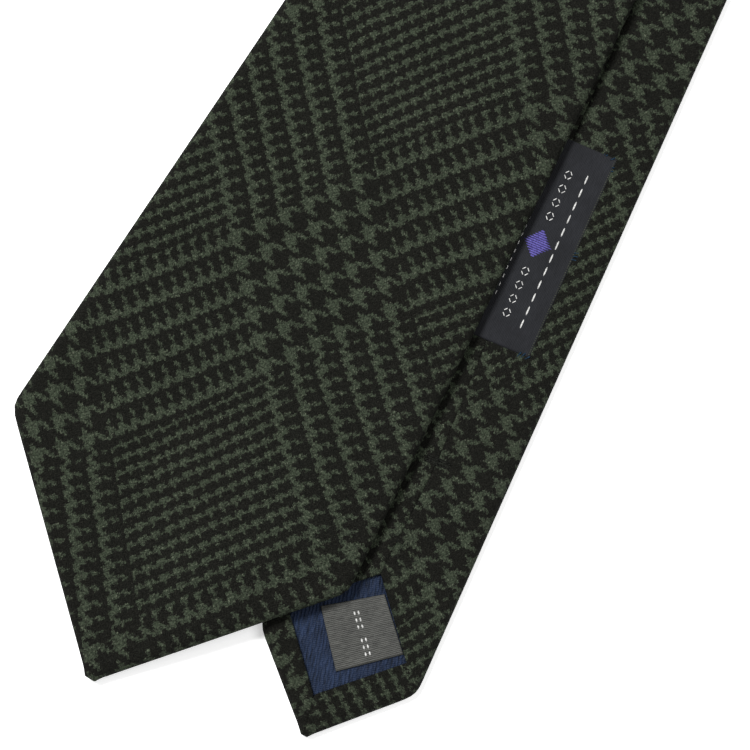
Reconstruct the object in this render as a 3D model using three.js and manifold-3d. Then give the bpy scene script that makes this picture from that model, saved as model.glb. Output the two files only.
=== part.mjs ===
// A wool necktie, folded in half at the neck and laid flat.
// The tail half lies face down with its back up, and the blade half lies on it face up.
// Millimetres, +Z up, +Y from the blade's point to the neck fold. Origin at the centre of the underside of its box.
import * as THREE from "three";
import { mergeVertices } from "three/addons/utils/BufferGeometryUtils.js";
import Module from "manifold-3d";

// ---- driving dimensions ----
const FOLD_Y = 725; // from the blade's point to the neck fold
const CREASE_SLOPE = 0.006; // the crease is square to the line that halves the angle between the two halves
const BLADE_HALF = 40; // half the blade's width at its shoulders
const BLADE_SHOULDER_Y = 42;
const BLADE_POINT_X = 2.43; // the blade's point lies a little off its centre line
const TAIL_POINT = [47.3, 12.0];
const TAIL_HALF = 17.5;
const TAIL_LEAN = -0.099; // slope of the tail's straight part
const TAIL_BEND_Y = 190; // from here the tail curves back to lie under the neck
const TAIL_BEND = 8.13e-5;
const NECK_HALF = 16;
const CLOTH = 0.7; // outer cloth
const LAYER_GAP = 0.3; // clearance between neighbouring layers
const HALF_T = 3.8; // thickness of one half
const LINING_Z = [1.0, 2.2]; // interlining
const TIPPING_Z = [2.5, 2.8];
const HALVES_GAP = 1.5; // between the two halves
const TOTAL_T = 2 * HALF_T + HALVES_GAP; // 9.1
const AXIS_Z = TOTAL_T / 2; // the fold's axis
const SLIT = 1.2; // back slit between the two flaps
const THREAD = 0.5;
const BLADE_JOIN_Y = 470; // bias seam between blade piece and neck piece
const TAIL_JOIN_Y = 440;
const JOIN_GAP = 1.3;
const HEM = 7; // width of the self border round the blade's tipping

const wasm = await Module();
wasm.setup();

const COLOURS = {
  cloth: { color: 0x272c24, roughness: 0.95, metalness: 0 },
  canvas: { color: 0xcfc8b6, roughness: 0.95, metalness: 0 },
  lining: { color: 0x1c2540, roughness: 0.6, metalness: 0 },
  label: { color: 0x23242e, roughness: 0.6, metalness: 0 },
  satin: { color: 0x2a2a29, roughness: 0.4, metalness: 0 },
  thread: { color: 0x14150f, roughness: 0.8, metalness: 0 },
  navyThread: { color: 0x17233a, roughness: 0.7, metalness: 0 },
};

// ---- solids ----
function solidFrom(geometry) {
  const g = geometry.clone();
  g.deleteAttribute("normal");
  g.deleteAttribute("uv");
  const m = mergeVertices(g, 1e-4);
  return new wasm.Manifold(
    new wasm.Mesh({
      numProp: 3,
      vertProperties: m.attributes.position.array,
      triVerts: new Uint32Array(m.index.array),
    }),
  );
}
function geometryFrom(solid) {
  const m = solid.getMesh();
  const v = new Float32Array(m.numVert * 3);
  for (let i = 0; i < m.numVert; i++)
    v.set(m.vertProperties.subarray(i * m.numProp, i * m.numProp + 3), i * 3);
  const g = new THREE.BufferGeometry();
  g.setAttribute("position", new THREE.BufferAttribute(v, 3));
  g.setIndex(new THREE.BufferAttribute(new Uint32Array(m.triVerts), 1));
  g.computeVertexNormals();
  return g;
}
function prism(points, z0, z1) {
  const shape = new THREE.Shape(points.map((p) => new THREE.Vector2(p[0], p[1])));
  const g = new THREE.ExtrudeGeometry(shape, { depth: z1 - z0, bevelEnabled: false });
  g.translate(0, 0, z0);
  return solidFrom(g);
}
function makeMesh(name, solid, finish) {
  const mesh = new THREE.Mesh(geometryFrom(solid), new THREE.MeshStandardMaterial(COLOURS[finish]));
  mesh.name = name;
  return mesh;
}

// ---- plan shape of each half, in its own frame with its back up ----
const lerpTable = (t, y) => {
  for (let i = 1; i < t.length; i++)
    if (y <= t[i][0]) {
      const k = (y - t[i - 1][0]) / (t[i][0] - t[i - 1][0]);
      return t[i - 1][1] + k * (t[i][1] - t[i - 1][1]);
    }
  return t[t.length - 1][1];
};
// The blade half is built in a frame that is turned over about Y, so its x is mirrored.
const BLADE = {
  half: (y) =>
    lerpTable(
      [[42, BLADE_HALF], [180, 30.3], [240, 26.3], [300, 22.9], [360, 20.2], [420, 18.3], [500, 16.8], [580, NECK_HALF], [725, NECK_HALF]],
      y,
    ),
  centre: () => 0,
  point: [-BLADE_POINT_X, 0],
  shoulderY: BLADE_SHOULDER_Y,
  crease: -CREASE_SLOPE,
};
const TAIL = {
  half: (y) => lerpTable([[29.5, TAIL_HALF], [190, 17.3], [300, 16.8], [600, NECK_HALF], [725, NECK_HALF]], y),
  centre: (y) => {
    const past = Math.max(0, y - TAIL_BEND_Y);
    return TAIL_POINT[0] + TAIL_LEAN * (y - TAIL_POINT[1]) + TAIL_BEND * past * past;
  },
  point: TAIL_POINT,
  shoulderY: 29.4,
  crease: CREASE_SLOPE,
};
const STATIONS = [42, 80, 130, 180, 240, 300, 360, 420, 500, 580, 650];

// Outline from y0 to y1, moved in by inset. y0 null starts at the point, y1 null ends at the fold. bias is the slope of the end cuts.
function outline(half, inset, y0, y1, bias0 = 0, bias1 = 0) {
  const right = [];
  const left = [];
  const lo = y0 === null ? half.shoulderY : y0;
  const hi = y1 === null ? FOLD_Y - LAYER_GAP : y1;
  const at = (y, side, slope) => {
    const w = half.half(y) - inset;
    const x = half.centre(y) + side * w;
    return [x, y + slope * (x - half.centre(y))];
  };
  const s0 = y0 === null ? 0 : bias0;
  const s1 = y1 === null ? half.crease : bias1;
  const ys = STATIONS.filter((y) => y > lo + 18 && y < hi - 24);
  for (const side of [1, -1]) {
    const pts = side > 0 ? right : left;
    pts.push(at(lo, side, s0));
    for (const y of ys) pts.push(at(y, side, 0));
    pts.push(at(hi, side, s1));
  }
  // the tail's shoulders are square to its own leaning centre line
  if (y0 === null && half === TAIL) {
    right[0][1] += 1.4;
    left[0][1] -= 1.7;
    right[0][0] += 0.1;
  }
  const tip = y0 === null ? [[half.point[0], half.point[1] + inset * Math.SQRT2]] : [];
  return [...tip, ...right, ...left.reverse()];
}

function slitOutline(half, y0, y1, width) {
  const ys = [y0, ...STATIONS.filter((y) => y > y0 + 10 && y < y1 - 10), y1];
  const a = ys.map((y) => [half.centre(y) + width / 2, y]);
  const b = ys.map((y) => [half.centre(y) - width / 2, y]);
  return [...a, ...b.reverse()];
}

// A shell: cloth folded round to the back, with a slit where the two flaps meet and a window at its point.
function shell(half, y0, y1, b0, b1, slit, window) {
  let s = prism(outline(half, 0, y0, y1, b0, b1), 0, HALF_T);
  const c0 = y0 === null ? null : y0 - 60;
  const c1 = y1 === null ? FOLD_Y + 30 : y1 + 60;
  const hollow = outline(half, CLOTH, c0, c1, b0, b1);
  s = s.subtract(prism(hollow, CLOTH, HALF_T - CLOTH));
  if (slit) s = s.subtract(prism(slitOutline(half, slit[0], slit[1], SLIT), HALF_T - CLOTH - 0.1, HALF_T + 1));
  if (window) s = s.subtract(prism(window, HALF_T - CLOTH - 0.1, HALF_T + 1));
  return s;
}
function bar(cx, cy, w, l, z0, z1, angle = 0) {
  const g = new THREE.BoxGeometry(w, l, z1 - z0);
  g.rotateZ(angle);
  g.translate(cx, cy, (z0 + z1) / 2);
  return solidFrom(g);
}

const BIAS = 1; // the cloth and its joins are cut at 45 degrees to the length
const EPS = JOIN_GAP / 2;

// ---- blade half, turned over so that its face is up ----
const BLADE_WINDOW = [[-BLADE_POINT_X, 9.9], [36, 46], [0, 82], [-36, 46]];
const bladeHalf = new THREE.Group();
bladeHalf.rotation.y = Math.PI;
bladeHalf.position.z = TOTAL_T;
bladeHalf.add(
  makeMesh("blade_shell", shell(BLADE, null, BLADE_JOIN_Y - EPS, 0, BIAS, [81, BLADE_JOIN_Y + 60], BLADE_WINDOW), "cloth"),
  makeMesh("neck_shell_blade_side", shell(BLADE, BLADE_JOIN_Y + EPS, null, BIAS, 0, [BLADE_JOIN_Y - 40, FOLD_Y - 70], null), "cloth"),
  makeMesh("blade_interlining", prism(outline(BLADE, 1.1, null, null), LINING_Z[0], LINING_Z[1]), "canvas"),
  makeMesh("blade_tipping", prism(outline(BLADE, 1.3, null, 98), TIPPING_Z[0], TIPPING_Z[1]), "lining"),
  makeMesh("blade_slip_stitch", prism(slitOutline(BLADE, 102, FOLD_Y - 75, THREAD), 3.2, 3.85), "thread"),
  makeMesh("blade_bar_tack", bar(0, 96, 6.5, 1.2, 3.95 + 0.15, 4.5), "thread"),
  makeMesh("keeper_loop", bar(0, 195, 44, 15, 4.1, 4.5), "label"),
);
// join seam: the machine stitches between blade piece and neck piece
{
  const w = BLADE.half(BLADE_JOIN_Y) - 0.1;
  const seam = prism(
    [[w, BLADE_JOIN_Y + w - 0.3], [w, BLADE_JOIN_Y + w + 0.3], [-w, BLADE_JOIN_Y - w + 0.3], [-w, BLADE_JOIN_Y - w - 0.3]],
    0.1,
    LINING_Z[0] - LAYER_GAP,
  );
  bladeHalf.add(makeMesh("blade_neck_seam", seam, "thread"));
}
for (const [i, x] of [[1, -20.6], [2, 20.6]]) {
  bladeHalf.add(makeMesh("keeper_end_stitch_" + i, bar(x, 195, 1.0, 12, 4.8, 5.1), "thread"));
}

// ---- tail half, face down ----
const TAIL_WINDOW = [[44.8, 20.0], [59.0, 36.0], [42.5, 51.2], [28.9, 35.4]];
const tailHalf = new THREE.Group();
tailHalf.add(
  makeMesh("tail_shell", shell(TAIL, null, TAIL_JOIN_Y - EPS, 0, -BIAS, [50.4, TAIL_JOIN_Y + 60], TAIL_WINDOW), "cloth"),
  makeMesh("neck_shell_tail_side", shell(TAIL, TAIL_JOIN_Y + EPS, null, -BIAS, 0, [TAIL_JOIN_Y - 40, FOLD_Y - 70], null), "cloth"),
  makeMesh("tail_interlining", prism(outline(TAIL, 1.1, null, null), LINING_Z[0], LINING_Z[1]), "canvas"),
  makeMesh("tail_tipping", prism(outline(TAIL, 1.3, null, 62), TIPPING_Z[0], TIPPING_Z[1]), "lining"),
  makeMesh("tail_slip_stitch", prism(slitOutline(TAIL, 66, FOLD_Y - 75, THREAD), 3.2, 3.85), "thread"),
);
{
  const w = TAIL.half(TAIL_JOIN_Y) - 0.1;
  const c = TAIL.centre(TAIL_JOIN_Y);
  const seam = prism(
    [[c + w, TAIL_JOIN_Y - w - 0.3], [c + w, TAIL_JOIN_Y - w + 0.3], [c - w, TAIL_JOIN_Y + w + 0.3], [c - w, TAIL_JOIN_Y + w - 0.3]],
    0.1,
    LINING_Z[0] - LAYER_GAP,
  );
  tailHalf.add(makeMesh("tail_neck_seam", seam, "thread"));
}
const LABEL = [37.5, 125.5];
const TAIL_ANGLE = 0.0987; // lean of the tail where its label is
tailHalf.add(
  makeMesh("tail_bar_tack", bar(43.2, 75.4, 5.4, 1.1, 4.1, 4.5, 0.081), "thread"),
  makeMesh("fabric_label", bar(...LABEL, 18, 45.6, 4.1, 4.5, TAIL_ANGLE), "label"),
);
// hand stitches along the label's free edges
const labelAt = (u, v) => [
  LABEL[0] + u * Math.cos(TAIL_ANGLE) - v * Math.sin(TAIL_ANGLE),
  LABEL[1] + u * Math.sin(TAIL_ANGLE) + v * Math.cos(TAIL_ANGLE),
];
for (const [i, u, v, w, l] of [
  [1, 4.6, 21.4, 0.4, 1.6],
  [2, 7.4, 19.6, 1.6, 0.4],
  [3, 7.4, 0.4, 1.6, 0.4],
  [4, 5.6, -21.4, 0.4, 1.6],
  [5, -6.8, 21.0, 0.4, 1.6],
  [6, -6.8, -21.0, 0.4, 1.6],
]) {
  const [x, y] = labelAt(u, v);
  tailHalf.add(makeMesh("label_stitch_" + i, bar(x, y, w, l, 4.8, 5.0, TAIL_ANGLE), "navyThread"));
}

// ---- care label: a tape sewn in along one edge, free to lift ----
const CARE = { a: [57.0, 36.7], b: [46.9, 46.0], far: [36.9, 36.6], near: [46.6, 26.9] };
const careLabel = makeMesh("care_label", prism([CARE.near, CARE.a, CARE.b, CARE.far], 3.1, 3.4), "satin");

// ---- neck fold: the half turn where one half becomes the other ----
function halfRing(r0, r1, width) {
  const shape = new THREE.Shape();
  const n = 12;
  for (let i = 0; i <= n; i++) {
    const t = -Math.PI / 2 + (Math.PI * i) / n;
    const p = [r1 * Math.cos(t), r1 * Math.sin(t)];
    i ? shape.lineTo(...p) : shape.moveTo(...p);
  }
  for (let i = n; i >= 0; i--) {
    const t = -Math.PI / 2 + (Math.PI * i) / n;
    shape.lineTo(r0 * Math.cos(t), r0 * Math.sin(t));
  }
  const g = new THREE.ExtrudeGeometry(shape, { depth: width, bevelEnabled: false });
  g.translate(0, 0, -width / 2);
  // profile x -> +Y, profile y -> +Z, depth -> +X
  g.applyMatrix4(new THREE.Matrix4().set(0, 0, 1, 0, 1, 0, 0, 0, 0, 1, 0, 0, 0, 0, 0, 1));
  return solidFrom(g);
}
const R_OUT = TOTAL_T / 2;
const R_IN = HALVES_GAP / 2;
const ringShell = halfRing(R_IN, R_OUT, 2 * NECK_HALF);
const cavity = halfRing(R_IN + CLOTH, R_OUT - CLOTH, 2 * (NECK_HALF - CLOTH)).add(
  bar(0, 0, 2 * (NECK_HALF - CLOTH), 2, R_IN + CLOTH, R_OUT - CLOTH),
).add(bar(0, 0, 2 * (NECK_HALF - CLOTH), 2, -(R_OUT - CLOTH), -(R_IN + CLOTH)));
const neckFold = new THREE.Group();
neckFold.position.set(0, FOLD_Y, AXIS_Z);
neckFold.rotation.z = Math.atan(CREASE_SLOPE);
neckFold.add(
  makeMesh("neck_shell_fold", ringShell.subtract(cavity), "cloth"),
  makeMesh("interlining_fold", halfRing(AXIS_Z - LINING_Z[1], AXIS_Z - LINING_Z[0], 2 * (NECK_HALF - 1.1)), "canvas"),
);

// ---- the whole tie, with the origin at the bottom centre of its box ----
const tie = new THREE.Group();
tie.add(tailHalf, careLabel, neckFold, bladeHalf);
tie.updateMatrixWorld(true);
const box = new THREE.Box3().setFromObject(tie, true);
tie.position.set(-(box.min.x + box.max.x) / 2, -(box.min.y + box.max.y) / 2, -box.min.z);

export default tie;
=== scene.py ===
import math

import bpy
import numpy as np
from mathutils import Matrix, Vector


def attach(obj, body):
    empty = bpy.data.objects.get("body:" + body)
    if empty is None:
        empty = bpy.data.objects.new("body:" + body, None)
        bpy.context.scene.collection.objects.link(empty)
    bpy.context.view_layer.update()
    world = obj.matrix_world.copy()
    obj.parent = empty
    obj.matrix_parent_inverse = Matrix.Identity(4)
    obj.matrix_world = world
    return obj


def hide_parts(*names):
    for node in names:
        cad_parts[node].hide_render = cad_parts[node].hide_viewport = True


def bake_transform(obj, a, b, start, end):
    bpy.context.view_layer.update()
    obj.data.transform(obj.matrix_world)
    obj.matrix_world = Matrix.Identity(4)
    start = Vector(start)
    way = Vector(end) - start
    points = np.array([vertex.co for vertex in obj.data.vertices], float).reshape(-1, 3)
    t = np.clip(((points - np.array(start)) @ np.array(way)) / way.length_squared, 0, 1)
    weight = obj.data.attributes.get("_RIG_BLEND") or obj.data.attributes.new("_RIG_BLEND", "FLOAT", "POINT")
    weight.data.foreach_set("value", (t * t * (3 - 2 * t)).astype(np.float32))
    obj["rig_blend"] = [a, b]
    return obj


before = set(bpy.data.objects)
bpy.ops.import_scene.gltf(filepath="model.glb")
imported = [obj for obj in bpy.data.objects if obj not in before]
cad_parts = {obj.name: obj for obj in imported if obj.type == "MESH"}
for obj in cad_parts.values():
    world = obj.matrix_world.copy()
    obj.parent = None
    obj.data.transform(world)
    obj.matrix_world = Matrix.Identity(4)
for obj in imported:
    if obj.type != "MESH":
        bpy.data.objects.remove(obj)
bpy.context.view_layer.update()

# plan coordinates in mm: x across from the blade's centre line, y up from the blade's point, z from the table
OX, OY = 11.588762, 364.822958


def row_frame(p):
    p = np.asarray(p, float)
    out = p.copy()
    out[..., 0] -= OX
    out[..., 1] -= OY
    return out / 1000.0


# ------------------------------------------------------------------ sizes
FOLD_Y = 725.0
AXIS_Z = 4.55
CREASE = 0.006
T = 3.6  # thickness of one half
H = T / 2
ROLL = 2.0  # radius of the rolled side folds, in plan
ARC = (math.pi / 2 - 1) * ROLL
CLOTH_T = 0.32
BLADE_Z = 6.5
TAIL_Z = 1.9
NECK_Z = 7.2
BLADE_JOIN, TAIL_JOIN = 470.0, 440.0


def smooth(v, table, s=1.3):
    xs, ys = zip(*table)
    v = np.asarray(v, float)
    out = 0
    ks = np.linspace(-2.2, 2.2, 9)
    ws = np.exp(-ks * ks / 2)
    ws /= ws.sum()
    for k, w in zip(ks, ws):
        out = out + w * np.interp(v + k * s, xs, ys)
    return out


def wobble(x, y, seed, scale):
    """smooth deterministic noise, about -1 to 1"""
    r = np.random.default_rng(seed)
    out = 0
    for _ in range(7):
        a = r.uniform(0, 2 * math.pi)
        f = r.uniform(0.6, 1.6) / scale * 2 * math.pi
        out = out + np.sin(f * (x * math.cos(a) + y * math.sin(a)) + r.uniform(0, 6.28))
    return out / 4.0


# ------------------------------------------------------------------ the weave's thread coordinates over the flat cloth
CI = [24.7962, 49.9081, 0.3636, -1.031, 53.0297, 1.6249, -0.5468, -3.2147, 2.7793, -1.824]
CJ = [18.5334, -42.9604, -0.8263, -0.0928, 59.9845, 1.6315, -2.3953, -2.4284, -0.9102, -6.9204]
TI = [-96.287, 56.08, -0.045, 51.847]
TJ = [35.837, -38.291, -1.723, 60.46]


def cubic(c, x, y):
    x = x / 50
    y = (y - 100) / 50
    out, k = 0, 0
    for m in range(4):
        for n in range(4 - m):
            out = out + c[k] * x**m * y**n
            k += 1
    return out


def taylor(f, x, y, x0, x1, y0, y1):
    """f inside the box, and its tangent plane outside it"""
    cx, cy = np.clip(x, x0, x1), np.clip(y, y0, y1)
    e = 0.5
    base = f(cx, cy)
    fx = (f(cx + e, cy) - f(cx - e, cy)) / (2 * e)
    fy = (f(cx, cy + e) - f(cx, cy - e)) / (2 * e)
    return base + fx * (x - cx) + fy * (y - cy)


def blade_threads(x, y):
    return np.stack(
        [taylor(lambda a, b, c=c: cubic(c, a, b), x, y, -38, 38, 6, 185) for c in (CI, CJ)], -1
    )


def tail_flap_threads(x, y):
    def quad(c, a, b):
        b = (b - 100) / 50
        return c[0] + c[1] * b + c[2] * b * b + c[3] * a / 50

    return np.stack([taylor(lambda a, b, c=c: quad(c, a, b), x, y, 20, 70, 10, 190) for c in (TI, TJ)], -1)


def mirror_line(p, a, n):
    d = (p - a) @ n
    return p - 2 * d[..., None] * n


TAIL_SIDE_N = np.array([0.9951, 0.0985])
TAIL_SIDE_A = np.array([63.08 - 3.1 * 0, 31.0])


def tail_threads(x, y):
    p = np.stack([x, y], -1)
    # the seen flap carries the flat map; the face is its mirror about the side fold
    q = mirror_line(p, TAIL_SIDE_A + TAIL_SIDE_N * (ARC), TAIL_SIDE_N)
    return tail_flap_threads(q[..., 0], q[..., 1])


def neck_threads(x, y):
    return np.stack([31 + 1.047 * x + 0.946 * y, 7 + 1.17 * x - 0.918 * y], -1)


# ------------------------------------------------------------------ the two halves
WARP_FIRST, WEFT_FIRST = 1, 3  # where the fine checks start in their 4-thread repeat
GREEN_LOW, GREEN_HIGH = (0.0120, 0.0160, 0.0105, 1), (0.0455, 0.0575, 0.0378, 1)
PALE_LOW, PALE_HIGH = (0.0125, 0.0130, 0.0105, 1), (0.0390, 0.0400, 0.0320, 1)
DARK_LOW, DARK_HIGH = (0.0026, 0.0027, 0.0022, 1), (0.0135, 0.0138, 0.0114, 1)
FLECK = (0.150, 0.155, 0.115, 1)


class Half:
    def __init__(self, name, right, left, apex_r, centre, side, z, window, seam, shoulder, join, bias):
        self.name, self.right, self.left, self.apex_r = name, right, left, apex_r
        self.centre, self.side, self.z = centre, side, z
        self.window, self.seam, self.shoulder = window, seam, shoulder
        self.join, self.bias = join, bias

    def edges(self, v):
        s = np.where(np.asarray(v) > 60, 8.0, 1.3)
        r = np.where(np.asarray(v) > 60, smooth(v, self.right, 8.0), smooth(v, self.right, 1.3))
        l = np.where(np.asarray(v) > 60, smooth(v, self.left, 8.0), smooth(v, self.left, 1.3))
        return l, r

    def slopes(self, v):
        l0, r0 = self.edges(np.asarray(v) - 0.2)
        l1, r1 = self.edges(np.asarray(v) + 0.2)
        return (l1 - l0) / 0.4, (r1 - r0) / 0.4

    def plan(self, r, v):
        """(r across, v along the centre line) to plan x, y"""
        cx, cy, a = self.centre(v)
        return cx + r * np.cos(a), cy + r * np.sin(a)

    def depth(self, r, v):
        l, rr = self.edges(v)
        sl, sr = self.slopes(v)
        dr = (rr - r) / np.sqrt(1 + sr * sr)
        dl = (r - l) / np.sqrt(1 + sl * sl)
        k = 0.8
        d = -np.log(np.exp(-np.clip(dr, -5, 60) / k) + np.exp(-np.clip(dl, -5, 60) / k)) * k
        return np.clip(np.minimum(d, v + 0.0), 0, None), dr, dl

    def offset(self, r, v, edge_k=1.0):
        d, _, _ = self.depth(r, v)
        t = np.clip(d / ROLL, 0, 1)
        return H * np.sqrt(np.clip(1 - (1 - t) ** 2, 0, 1))

    def mid(self, x, y, v):
        return self.z(x, y, v)


def blade_centre(v):
    v = np.asarray(v, float)
    return 0 * v, v, CREASE * np.clip((v - 600) / 125, 0, 1)


TP = np.array([47.3, 12.0])


def tail_centre(v):
    v = np.asarray(v, float)
    y = TP[1] + v * 0.9951
    past = np.clip(y - 190, 0, None)
    x = TP[0] - 0.099 * (y - TP[1]) + 8.13e-5 * past**2
    slope = -0.099 + 2 * 8.13e-5 * past
    return x, y, -np.arctan(slope) * (1 - np.clip((y - 650) / 75, 0, 1)) + CREASE * np.clip((y - 650) / 75, 0, 1)


TAIL_V_END = (FOLD_Y - TP[1]) / 0.9951


# outline of the tail, for what it holds up
_tv = np.linspace(0, TAIL_V_END, 160)


def tail_left_right(y):
    v = np.clip((np.asarray(y, float) - TP[1]) / 0.9951, 0, None)
    l, r = TAIL.edges(v)
    cx, _, _ = tail_centre(v)
    return cx + l, cx + r


def droop(x, y):
    """how far the blade sags where the tail isn't under it"""
    yy = np.clip(y, 30, FOLD_Y)
    l, _ = tail_left_right(yy)
    gap = np.hypot(np.clip(l - x, 0, None), np.clip(30 - y, 0, None) * 0.6)
    t = np.clip((gap - 1.5) / 40.0, 0, 1)
    return 4.45 * t * t * (3 - 2 * t)


def blade_z(x, y, v):
    up = np.clip((y - 560) / 150, 0, 1)
    base = BLADE_Z + (NECK_Z - BLADE_Z) * up * up * (3 - 2 * up)
    fade = np.clip((FOLD_Y - y) / 90, 0, 1)
    return base - droop(x, y) * fade + 0.16 * wobble(x, y, 4, 70) * np.clip((y - 20) / 40, 0, 1) * fade * np.clip((x + 42) / 30, 0, 1)


def tail_z(x, y, v):
    return TAIL_Z + 0 * x


BLADE = Half(
    "blade",
    [(-4, 2.9), (0, 3.1), (42.7, 40.05), (180, 30.3), (240, 26.3), (300, 22.9), (360, 20.2), (420, 18.3), (500, 16.8), (580, 16.0), (760, 16.0)],
    [(-4, 1.9), (0, 1.7), (41.3, -40.05), (180, -30.3), (240, -26.3), (300, -22.9), (360, -20.2), (420, -18.3), (500, -16.8), (580, -16.0), (760, -16.0)],
    2.43, blade_centre, 1.0, blade_z,
    [(2.43, 9.9), (36.0, 45.5), (0.0, 82.0), (-36.0, 45.5)], [(0, 2.4), (40, 0), (760, 0)], 42.0, BLADE_JOIN, 1.0,
)
TAIL = Half(
    "tail",
    [(-4, 0.2), (0, 0.35), (17.3, 17.7), (60, 17.5), (150, 17.3), (180, 17.2), (300, 16.8), (590, 16.0), (760, 16.0)],
    [(-4, -0.2), (0, -0.35), (17.3, -17.7), (60, -17.5), (150, -17.3), (180, -17.2), (300, -16.8), (590, -16.0), (760, -16.0)],
    0.0, tail_centre, -1.0, tail_z,
    [(-1.7, 8.2), (13.7, 22.5), (0.7, 37.6), (-14.9, 23.4)], [(0, -1.7), (37.6, 0.7), (52, 1.4), (63.5, 1.9), (90, 1.0), (140, 0), (760, 0)], 17.3, TAIL_JOIN, -1.0,
)

EDGE_ANGLES = np.radians([0, 9, 19, 30, 41, 53, 65, 77, 90])
NE = len(EDGE_ANGLES)
LIP = 0.34


def window_at(half, v):
    """left and right limits of the opening in the back at v; a hair's gap where the flaps meet"""
    b, rt, tp, lf = half.window
    seam = float(np.interp(v, *zip(*half.seam)))
    gap = 0.16
    if v <= b[1]:
        c = np.interp(v, [0, b[1]], [half.apex_r, b[0]])
        return c - gap, c + gap
    if v >= tp[1]:
        return seam - gap, seam + gap
    r = np.interp(v, [b[1], rt[1], tp[1]], [b[0] + gap, rt[0], tp[0] + gap])
    l = np.interp(v, [b[1], lf[1], tp[1]], [b[0] - gap, lf[0], tp[0] - gap])
    return float(l), float(r)


def section(half, v, nf, nb):
    """columns of one row: r, sign (+1 face, -1 back), extra drop of the offset, and a layer tag"""
    l, r = (float(a) for a in half.edges(v))
    sl, sr = (float(a) for a in half.slopes(v))
    w = r - l
    er = min(ROLL * math.sqrt(1 + sr * sr), 0.3 * w)
    el = min(ROLL * math.sqrt(1 + sl * sl), 0.3 * w)
    wl, wr = window_at(half, v)
    cols = []
    span_r, span_l = r - wr, wl - l

    def flap(edge, inner, e, span, s):
        e2 = min(e, 0.55 * span)
        lip = min(LIP, 0.16 * span)
        under = min(3.2, 0.5 * span)
        a = []
        a.append((inner + s * under, 2 * lip, 1))
        a.append((inner + s * under * 0.5, 2 * lip, 1))
        for k in (150, 110, 70, 30):
            t = math.radians(k)
            a.append((inner + s * lip * (1 - math.sin(t)), lip * (1 - math.cos(t)), 1))
        first = inner + s * lip
        last = edge - s * e2
        for i in range(nb):
            a.append((first + (last - first) * i / nb, 0.0, 0))
        for t in EDGE_ANGLES[::-1][:-1]:
            a.append((edge - s * e2 * (1 - math.cos(t)), 0.0, 0))
        return a

    right = flap(r, wr, er, span_r, 1)
    cols += [(a, -1, b, "R", c) for a, b, c in right]
    cols.append((r, 1, 0.0, "F", 0))
    for t in EDGE_ANGLES[1:]:
        cols.append((r - er * (1 - math.cos(t)), 1, 0.0, "F", 0))
    a0, a1 = r - er, l + el
    for i in range(1, nf):
        cols.append((a0 + (a1 - a0) * i / nf, 1, 0.0, "F", 0))
    for t in EDGE_ANGLES[::-1][:-1]:
        cols.append((l + el * (1 - math.cos(t)), 1, 0.0, "F", 0))
    cols.append((l, 1, 0.0, "F", 0))
    left = flap(l, wl, el, span_l, -1)
    cols += [(a, -1, b, "L", c) for a, b, c in left[::-1]]
    return cols


def arc_depth(d):
    """distance walked over the rolled edge, from the outline to plan depth d"""
    t = np.clip(d / ROLL, 0, 1)
    return ROLL * (math.pi / 2 - np.arcsin(1 - t)) + np.clip(d - ROLL, 0, None)


def pucker(half, r, v):
    if half.name == "tail":
        g = np.exp(-(((r - 2.1) / 6.5) ** 2) - ((v - 63.5) / 3.0) ** 2)
        rays = np.exp(-np.hypot(r - 2.1, (v - 63.5) * 0.8) / 6.0) * np.sin(8 * np.arctan2(v - 63.5, r - 2.1) + 0.7)
        return 0.66 * g + 0.42 * rays * (1 - g)
    g = np.exp(-(((r - 0.0) / 7.0) ** 2) - ((v - 96) / 3.2) ** 2)
    return 0.6 * g


def surface(half, r, v, sign, drop=0.0, shear=None, tag="F"):
    """a point on the outer surface, in plan mm. v may be sheared towards a bias seam."""
    off = half.offset(r, v)
    off = off - drop
    if sign < 0:
        off = off - pucker(half, r, v)
    x, y = half.plan(r, v)
    soft = 1 + 0.05 * wobble(x, y, 11 if half.name == "blade" else 12, 38)
    z = half.mid(x, y, v)
    return x, y, z + half.side * sign * off * soft


def sheared(half, r, v, tag, shear):
    """rows lean to the bias near a join, mirrored on the back"""
    l, rr = half.edges(v)
    along = np.where(tag == "F", r, np.where(tag == "R", 2 * rr - r, 2 * l - r))
    return v + shear * half.bias * along


def rows_of(a, b, near=2.0, far=5.0, split=230.0):
    out = [a]
    while out[-1] < b - 1e-6:
        step = near if out[-1] < split else far
        out.append(min(b, out[-1] + step))
    return out


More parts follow.
